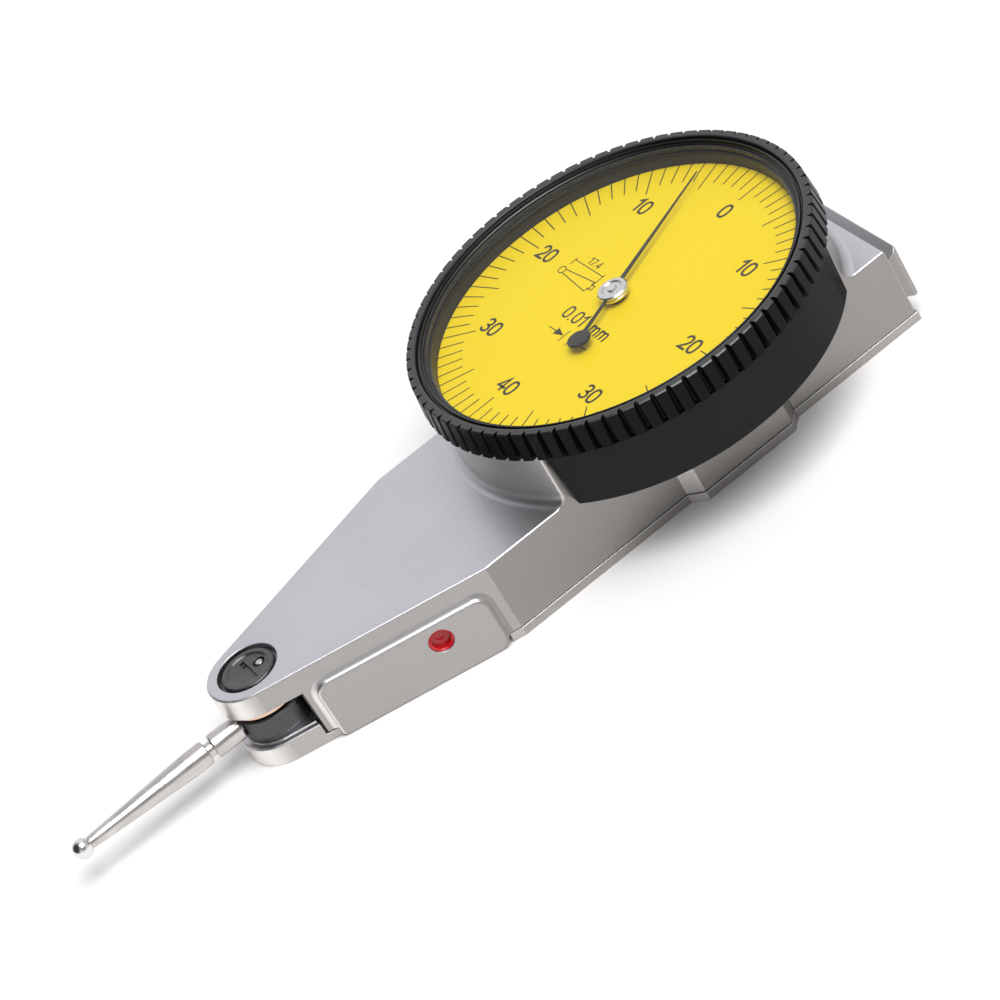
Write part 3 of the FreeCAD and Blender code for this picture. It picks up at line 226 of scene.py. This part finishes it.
def turned_steel(name, tone=(0.56, 0.55, 0.54), rough=0.3, along=(1.0, 0.02, 0.02), scale=5200.0, bump=0.25):
    a = Mat(name, color=tone, metallic=1.0, rough=rough)
    rings = a.noise(scale, 2.0, 0.6, stretch=along)
    wide = a.noise(400.0, 2.0, 0.5)
    painted_edge_highlight, nb = a.edge_mask(0.0001)
    col = a.mix(a.span(rings, 0.0, 1.0, 0.3, 0.7), tuple(c * 0.86 for c in tone), tuple(min(1.0, c * 1.1) for c in tone))
    # painted highlight: edges are blended towards a pale grey in the base colour
    col = a.mix(a.math("MULTIPLY", painted_edge_highlight, 0.4), col, (0.85, 0.85, 0.84))
    a.to("Base Color", col)
    a.to("Roughness", a.math("ADD", a.span(rings, rough - 0.06, rough + 0.07, 0.3, 0.7), a.math("MULTIPLY", wide, 0.05)))
    a.to("Normal", a.bump(rings, bump, 0.00002, nb))
    return a.m


M = {}
M["cast"] = cast_metal("satin_cast_alloy")
# the cover's vertical faces get the same painted shade through the darker flank tone
M["cover"] = cast_metal("ground_alloy", flank_painted_shade=(0.40, 0.385, 0.37), brushed=True)
a = black_plastic("black_case_plastic", base=0.0035, rough=0.2, bump=0.05, spec=0.4)
lw = a.new("ShaderNodeLayerWeight")
lw.inputs["Blend"].default_value = 0.5
a.to("Specular IOR Level", a.span(lw.outputs["Facing"], 0.20, 0.03, 0.2, 0.6))
M["case"] = a.m

# bezel: black outside, dark grey satin wall between the crystal and the dial
a = black_plastic("black_bezel_plastic", base=0.004, rough=0.3, bump=0.15, spec=0.4)
bn = a.new("ShaderNodeSeparateXYZ")
a.link(a.coord.outputs["Normal"], bn.inputs[0])
a.to("Specular IOR Level", a.span(bn.outputs[2], 0.10, 0.85, 0.2, 0.8))
sep = a.new("ShaderNodeSeparateXYZ")
a.link(a.coord.outputs["Object"], sep.inputs[0])
rad = a.math("SQRT", a.math("ADD", a.math("MULTIPLY", sep.outputs[0], sep.outputs[0]), a.math("MULTIPLY", sep.outputs[1], sep.outputs[1])))
inner = a.math("MULTIPLY", a.math("LESS_THAN", rad, 0.01812), a.math("GREATER_THAN", sep.outputs[2], 0.01505))
old = a.b.inputs["Base Color"].links[0].from_socket
a.to("Base Color", a.mix(inner, old, (0.022, 0.022, 0.02)))
M["bezel"] = a.m

# dial: matt yellow lacquer
a = Mat("yellow_dial_lacquer", color=(0.95, 0.74, 0.01), rough=0.55, spec=0.18)
fine = a.noise(9000.0, 3.0, 0.6)
wide = a.noise(60.0, 2.0, 0.5)
a.to("Base Color", a.mix(a.span(wide, 0.0, 1.0, 0.3, 0.7), (0.755, 0.555, 0.003), (0.765, 0.57, 0.005)))
a.to("Roughness", a.span(fine, 0.44, 0.56, 0.3, 0.7))
a.to("Normal", a.bump(fine, 0.08, 0.00001))
M["dial"] = a.m

a = Mat("dial_ink", color=(0.03, 0.022, 0.01), rough=0.55)
ink = a.noise(6000.0, 2.0)
a.to("Base Color", a.mix(ink, (0.020, 0.016, 0.010), (0.040, 0.030, 0.014)))
M["ink"] = a.m

# crystal: clear acrylic that lets light straight through, with a faint reflection that grows at a grazing angle
a = Mat("clear_crystal", color=(1, 1, 1), metallic=1.0, rough=0.05)
tr = a.new("ShaderNodeBsdfTransparent")
tr.inputs["Color"].default_value = (0.99, 0.993, 0.99, 1)
lw = a.new("ShaderNodeLayerWeight")
lw.inputs["Blend"].default_value = 0.5
wav = a.noise(60.0, 1.0, 0.4)
a.to("Roughness", a.span(wav, 0.04, 0.10, 0.3, 0.7))
cover = a.math("ADD", a.math("MULTIPLY", a.math("POWER", lw.outputs["Facing"], 5.0), 0.75), 0.003)
mx = a.new("ShaderNodeMixShader")
a.link(cover, mx.inputs[0])
a.link(tr.outputs[0], mx.inputs[1])
a.link(a.b.outputs[0], mx.inputs[2])
a.link(mx.outputs[0], a.t.nodes["Material Output"].inputs["Surface"])
M["crystal"] = a.m

M["steel"] = turned_steel("turned_steel")
M["stylus"] = turned_steel("stylus_steel", tone=(0.60, 0.58, 0.555), rough=0.24, scale=1500.0, bump=0.03, along=(0.25, 1.0, 1.0))
M["axis_steel"] = turned_steel("shaft_steel", along=(0.02, 0.02, 1.0))
a = Mat("polished_ball", color=(0.78, 0.78, 0.79), metallic=1.0, rough=0.07)
sc = a.noise(2500.0, 4.0, 0.7)
a.to("Roughness", a.span(sc, 0.05, 0.13, 0.35, 0.7))
a.to("Normal", a.bump(sc, 0.05, 0.00001))
M["ball"] = a.m

# hub of the stylus: dark oxidised steel
a = Mat("oxidised_steel", color=(0.08, 0.083, 0.088), metallic=0.85, rough=0.36)
fine = a.noise(4200.0, 3.0, 0.6, stretch=(1.0, 1.0, 0.25))
# painted highlight: edges are lightened towards a mid grey in the base colour
painted_edge_highlight, nb = a.edge_mask(0.00014)
a.to("Base Color", a.mix(a.math("MULTIPLY", painted_edge_highlight, 0.5), a.mix(fine, (0.06, 0.063, 0.067), (0.115, 0.12, 0.125)), (0.5, 0.5, 0.5)))
a.to("Roughness", a.span(fine, 0.3, 0.44, 0.3, 0.7))
a.to("Normal", a.bump(fine, 0.2, 0.00002, nb))
M["oxide"] = a.m

a = Mat("black_pivot_cap", color=(0.02, 0.02, 0.022), metallic=0.0, rough=0.2, spec=0.7)
ring = a.new("ShaderNodeTexNoise")
ring.inputs["Scale"].default_value = 1200.0
a.link(a.coord.outputs["Object"], ring.inputs["Vector"])
a.to("Roughness", a.span(ring.outputs["Fac"], 0.16, 0.3, 0.3, 0.7))
a.to("Base Color", a.mix(ring.outputs["Fac"], (0.016, 0.016, 0.018), (0.045, 0.045, 0.05)))
a.to("Normal", a.bump(ring.outputs["Fac"], 0.15, 0.00003, a.soft_edges(0.0001)))
M["cap"] = a.m

a = Mat("bronze_washer", color=(0.80, 0.56, 0.42), metallic=1.0, rough=0.33)
fine = a.noise(3000.0, 3.0, 0.6, stretch=(1, 1, 0.2))
a.to("Base Color", a.mix(fine, (0.76, 0.50, 0.36), (0.90, 0.66, 0.52)))
a.to("Roughness", a.span(fine, 0.28, 0.42, 0.3, 0.7))
a.to("Normal", a.bump(fine, 0.15, 0.00002))
M["bronze"] = a.m

a = Mat("brass", color=(0.78, 0.58, 0.27), metallic=1.0, rough=0.3)
fine = a.noise(2600.0, 3.0, 0.6, stretch=(0.3, 1, 1))
a.to("Base Color", a.mix(fine, (0.70, 0.50, 0.22), (0.84, 0.66, 0.34)))
a.to("Roughness", a.span(fine, 0.24, 0.4, 0.3, 0.7))
a.to("Normal", a.bump(fine, 0.12, 0.00002))
M["brass"] = a.m

a = Mat("red_plug", color=(0.45, 0.006, 0.012), rough=0.22, spec=0.6)
fine = a.noise(1500.0, 3.0, 0.6)
a.to("Base Color", a.mix(fine, (0.34, 0.004, 0.008), (0.60, 0.012, 0.02)))
a.to("Roughness", a.span(fine, 0.18, 0.34, 0.3, 0.7))
a.to("Normal", a.bump(fine, 0.15, 0.00004))
M["red"] = a.m

a = Mat("black_hand", color=(0.012, 0.012, 0.012), rough=0.35)
fine = a.noise(5000.0, 3.0)
a.to("Base Color", a.mix(fine, (0.008, 0.008, 0.008), (0.022, 0.02, 0.018)))
a.to("Roughness", a.span(fine, 0.3, 0.45, 0.3, 0.7))
M["hand"] = a.m

a = Mat("hub_silver", color=(0.72, 0.72, 0.73), metallic=1.0, rough=0.18)
sepc = a.new("ShaderNodeSeparateXYZ")
a.link(a.coord.outputs["Object"], sepc.inputs[0])
rr = a.math("SQRT", a.math("ADD", a.math("MULTIPLY", sepc.outputs[0], sepc.outputs[0]), a.math("MULTIPLY", sepc.outputs[1], sepc.outputs[1])))
com = a.new("ShaderNodeCombineXYZ")
a.link(rr, com.inputs[0])
rn = a.noise(9000.0, 2.0, 0.6, source=com.outputs[0])
a.to("Roughness", a.span(rn, 0.14, 0.3, 0.3, 0.7))
a.to("Base Color", a.mix(rn, (0.62, 0.62, 0.63), (0.80, 0.80, 0.80)))
a.to("Normal", a.bump(rn, 0.3, 0.00002))
M["hubcap"] = a.m

a = Mat("ruby", color=(0.5, 0.01, 0.06), rough=0.08, spec=0.8)
fine = a.noise(900.0, 2.0)
a.to("Base Color", a.mix(fine, (0.40, 0.006, 0.05), (0.62, 0.02, 0.10)))
M["ruby"] = a.m
M["rubber"] = black_plastic("rubber", base=0.02, rough=0.62, bump=0.3).m

use = {
    "body_casting": "cast", "bottom_cover": "cover", "cover_screws": "steel", "pivot_cap": "cap", "cap_pin": "steel",
    "spacer_ring": "oxide", "upper_pivot_bush": "brass", "lower_pivot_bush": "brass", "pivot_plug": "steel", "thrust_washer": "bronze", "seal_plug": "red",
    "dial_case": "case", "case_screws": "steel", "friction_ring": "rubber", "movement_bridge": "brass", "bridge_pillars": "axis_steel",
    "bridge_screws": "steel", "jewel_centre_lower": "ruby", "jewel_centre_upper": "ruby", "jewel_wheel_lower": "ruby",
    "jewel_wheel_upper": "ruby", "hairspring": "bronze", "hairspring_stud": "brass", "spring_post": "axis_steel", "lever_spring": "axis_steel",
    "lever_arbor": "axis_steel", "swing_lever": "steel", "sector_gear": "brass", "sector_rivets": "steel", "spring_pin": "axis_steel",
    "clutch_spring": "steel", "clutch_collar": "steel", "stylus_hub": "oxide", "stylus": "stylus", "contact_ball": "ball",
    "wheel_arbor": "axis_steel", "intermediate_wheel": "brass", "intermediate_pinion": "axis_steel", "centre_arbor": "axis_steel",
    "centre_pinion": "axis_steel", "hairspring_collet": "brass", "pointer": "hand", "pointer_hub": "hubcap", "pointer_collar": "hubcap",
    "bezel": "bezel", "crystal": "crystal", "crystal_gasket": "rubber", "dial_plate": "dial",
}
for name, o in nodes.items():
    o.data.materials.clear()
    o.data.materials.append(M[use[name]])

# ------------------------------------------------------------------ dial printing
DIAL_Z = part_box("dial_plate")[1].z / MM
TURN = math.radians(1.05)


class Print:
    """Flat closed ribbons on the dial; u is to the right and v up on the upright dial, in millimetres."""

    def __init__(self, name, z0, z1):
        self.bm = bmesh.new()
        self.name, self.z0, self.z1 = name, z0, z1

    def place(self, u, v, z):
        # the upright dial's up is the tail (+X) and its right is -Y
        x, y = v, -u
        return Vector((x * math.cos(TURN) - y * math.sin(TURN), x * math.sin(TURN) + y * math.cos(TURN), z)) * MM

    def shell(self, left, right, closed):
        n = len(left)
        rows = []
        for i in range(n):
            rows.append([self.bm.verts.new(self.place(p[0], p[1], z)) for p, z in
                         ((left[i], self.z1), (right[i], self.z1), (right[i], self.z0), (left[i], self.z0))])
        for i in range(n if closed else n - 1):
            a, b = rows[i], rows[(i + 1) % n]
            for k in range(4):
                self.bm.faces.new((a[k], b[k], b[(k + 1) % 4], a[(k + 1) % 4]))
        if not closed:
            self.bm.faces.new(rows[0])
            self.bm.faces.new(list(reversed(rows[-1])))

    def stroke(self, pts, width, closed=False, caps=True):
        h = width / 2.0
        pts = [Vector((p[0], p[1])) for p in pts]
        n = len(pts)
        left, right = [], []
        if caps and not closed:
            d = (pts[1] - pts[0]).normalized()
            for s in (75, 50, 25):
                a = math.radians(s)
                off, back = h * math.cos(a), h * math.sin(a)
                nrm = Vector((-d.y, d.x))
                left.append(pts[0] - d * back + nrm * off)
                right.append(pts[0] - d * back - nrm * off)
        for i in range(n):
            if closed:
                a, b = pts[i - 1], pts[(i + 1) % n]
            else:
                a, b = pts[max(i - 1, 0)], pts[min(i + 1, n - 1)]
            p = pts[i]
            d0 = (p - a).normalized() if (p - a).length > 1e-9 else (b - p).normalized()
            d1 = (b - p).normalized() if (b - p).length > 1e-9 else d0
            t = (d0 + d1).normalized()
            nrm = Vector((-t.y, t.x))
            k = h / max(0.4, nrm.dot(Vector((-d1.y, d1.x))))
            left.append(p + nrm * k)
            right.append(p - nrm * k)
        if caps and not closed:
            d = (pts[-1] - pts[-2]).normalized()
            for s in (25, 50, 75):
                a = math.radians(s)
                off, back = h * math.cos(a), h * math.sin(a)
                nrm = Vector((-d.y, d.x))
                left.append(pts[-1] + d * back + nrm * off)
                right.append(pts[-1] + d * back - nrm * off)
        self.shell(left, right, closed)

    def polygon(self, pts):
        top = [self.bm.verts.new(self.place(p[0], p[1], self.z1)) for p in pts]
        low = [self.bm.verts.new(self.place(p[0], p[1], self.z0)) for p in pts]
        self.bm.faces.new(top)
        self.bm.faces.new(list(reversed(low)))
        n = len(pts)
        for i in range(n):
            self.bm.faces.new((top[i], low[i], low[(i + 1) % n], top[(i + 1) % n]))

    def finish(self, material):
        bmesh.ops.recalc_face_normals(self.bm, faces=self.bm.faces)
        me = bpy.data.meshes.new(self.name)
        self.bm.to_mesh(me)
        self.bm.free()
        me.materials.append(material)
        o = bpy.data.objects.new(self.name, me)
        scene.collection.objects.link(o)
        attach(o, "bezel_ring")
        return o


def arc(cx, cy, rx, ry, a0, a1, n=14):
    return [(cx + rx * math.cos(math.radians(a0 + (a1 - a0) * i / n)), cy + ry * math.sin(math.radians(a0 + (a1 - a0) * i / n))) for i in range(n + 1)]


def superloop(cx, cy, rx, ry, e=2.5, n=36):
    out = []
    for i in range(n):
        t = 2 * math.pi * i / n
        c, s = math.cos(t), math.sin(t)
        out.append((cx + rx * math.copysign(abs(c) ** (2 / e), c), cy + ry * math.copysign(abs(s) ** (2 / e), s)))
    return out


# glyphs in a cell 1 high; every entry is (points, closed)
GLYPH = {
    "0": (0.66, [(superloop(0.33, 0.5, 0.265, 0.45), True)]),
    "1": (0.50, [([(0.08, 0.74), (0.34, 0.945), (0.34, 0.05)], False)]),
    "2": (0.62, [(arc(0.30, 0.69, 0.235, 0.26, 165, -35) + [(0.42, 0.42), (0.06, 0.05), (0.57, 0.05)], False)]),
    "3": (0.62, [(arc(0.28, 0.725, 0.225, 0.225, 150, -90, 16) + arc(0.28, 0.275, 0.255, 0.225, 90, -150, 18)[1:], False)]),
    "4": (0.66, [([(0.44, 0.05), (0.44, 0.94), (0.05, 0.28), (0.62, 0.28)], False)]),
    "7": (0.58, [([(0.06, 0.94), (0.53, 0.94), (0.22, 0.05)], False)]),
    ".": (0.26, [([(0.12, 0.05), (0.125, 0.06)], False)]),
    "m": (0.98, [([(0.1, 0.05), (0.1, 0.66)], False), (arc(0.29, 0.47, 0.19, 0.19, 160, 0, 10) + [(0.48, 0.05)], False),
                 (arc(0.67, 0.47, 0.19, 0.19, 160, 0, 10) + [(0.86, 0.05)], False)]),
}


def text(pr, s, u, v, height, width, stretch=1.0):
    total = sum(GLYPH[c][0] for c in s) * height * stretch + 0.07 * height * (len(s) - 1)
    x = u - total / 2
    for c in s:
        adv, strokes = GLYPH[c]
        for pts, closed in strokes:
            pr.stroke([(x + p[0] * height * stretch, v - height / 2 + p[1] * height) for p in pts], width, closed)
        x += adv * height * stretch + 0.07 * height


pr = Print("dial_scale", DIAL_Z + 0.004, DIAL_Z + 0.022)
for k in range(80):
    a = math.radians(k * 4.5)
    r0 = 14.5 if k % 5 == 0 else 15.5
    r1 = 18.22
    su, cv = math.sin(a), math.cos(a)
    w = 0.11
    pr.stroke([(r0 * su, r0 * cv), (r1 * su, r1 * cv)], w, caps=False)
for k, s in ((0, "0"), (10, "10"), (20, "20"), (30, "30"), (40, "40"), (50, "30"), (60, "20"), (70, "10")):
    a = math.radians(k * 4.5)
    r = 12.85
    text(pr, s, r * math.sin(a), r * math.cos(a), 1.74, 0.26)
# reading per division, with its arrows and two lines
text(pr, "0.01", -1.85, -3.68, 1.5, 0.2, 1.02)
text(pr, "mm", 2.5, -3.68, 1.5, 0.2, 0.96)
for u in (-0.60, 0.60):
    pr.stroke([(u, -6.65), (u, -5.15)], 0.09, caps=False)
for s in (-1, 1):
    pr.stroke([(s * 3.3, -5.9), (s * 1.9, -5.9)], 0.1, caps=False)
    pr.polygon([(s * 0.72, -5.9), (s * 2.05, -5.48), (s * 2.05, -6.32)])
# pictogram of the stylus with its length
text(pr, "17.4", -6.6, 1.75, 0.9, 0.1)
pr.stroke([(-9.15, 1.0), (-4.1, 1.0)], 0.085, caps=False)
pr.stroke([(-9.15, 1.3), (-9.15, 0.3)], 0.085, caps=False)
pr.stroke([(-4.1, 1.3), (-4.1, -0.9)], 0.085, caps=False)
pr.stroke(superloop(-9.25, -0.55, 0.42, 0.42, 2.0, 24), 0.09, True)
pr.stroke([(-8.9, -0.32), (-4.25, 0.1), (-4.25, -0.25), (-3.65, -0.25), (-3.65, -0.75), (-4.25, -0.75), (-4.25, -1.2), (-8.9, -0.8)], 0.09, caps=False)
pr.finish(M["ink"])

# ------------------------------------------------------------------ stage
a = Mat("pale_floor", color=(0.88, 0.87, 0.86), rough=0.6, spec=0.2)
fl = a.noise(30.0, 3.0)
a.to("Base Color", a.mix(fl, (0.885, 0.872, 0.858), (0.90, 0.888, 0.875)))
fm = bpy.data.meshes.new("floor")
s = 6.0
fm.from_pydata([(-s, -s, -0.00002), (s, -s, -0.00002), (s, s, -0.00002), (-s, s, -0.00002)], [], [(0, 1, 2, 3)])
fm.materials.append(a.m)
floor = bpy.data.objects.new("floor", fm)
scene.collection.objects.link(floor)

world = bpy.data.worlds.new("studio")
scene.world = world
world.use_nodes = True
wt = world.node_tree
bg = wt.nodes["Background"]
tc = wt.nodes.new("ShaderNodeTexCoord")
def lobe(direction, start, full, amount):
    """1 outside a soft dark patch of the studio, 1 - amount in its middle."""
    v = wt.nodes.new("ShaderNodeVectorMath")
    v.operation = "DOT_PRODUCT"
    v.inputs[1].default_value = Vector(direction).normalized()
    wt.links.new(tc.outputs["Generated"], v.inputs[0])
    r = wt.nodes.new("ShaderNodeMapRange")
    r.interpolation_type = "SMOOTHSTEP"
    for key, value in (("From Min", start), ("From Max", full), ("To Min", 1.0), ("To Max", 1.0 - amount)):
        r.inputs[key].default_value = value
    wt.links.new(v.outputs["Value"], r.inputs["Value"])
    return r.outputs["Result"]


level = lobe((-0.82, 0.10, 0.56), 0.42, 0.90, 0.94)
for other in (lobe((0.10, -0.80, 0.58), 0.78, 0.95, 0.65), lobe((0.9, 0.0, 0.2), 0.6, 0.95, 0.35)):
    mu = wt.nodes.new("ShaderNodeMath")
    mu.operation = "MULTIPLY"
    wt.links.new(level, mu.inputs[0])
    wt.links.new(other, mu.inputs[1])
    level = mu.outputs[0]
ra = wt.nodes.new("ShaderNodeMix")
ra.data_type = "RGBA"
ra.inputs[6].default_value = (0, 0, 0, 1)
ra.inputs[7].default_value = (0.90, 0.90, 0.93, 1)
wt.links.new(level, ra.inputs["Factor"])
wt.links.new(ra.outputs[2], bg.inputs["Color"])
bg.inputs["Strength"].default_value = 1.0


def area(name, pos, target, sx, sy, power, color=(1, 1, 1)):
    d = bpy.data.lights.new(name, "AREA")
    d.shape = "RECTANGLE"
    d.size, d.size_y = sx, sy
    d.energy = power
    d.color = color
    o = bpy.data.objects.new(name, d)
    scene.collection.objects.link(o)
    o.location = pos
    o.rotation_mode = "QUATERNION"
    o.rotation_quaternion = (Vector(target) - Vector(pos)).to_track_quat("-Z", "Y")
    return o


area("key_top", (0.10, -0.34, 0.78), (0, 0, 0), 0.6, 0.6, 7.6)
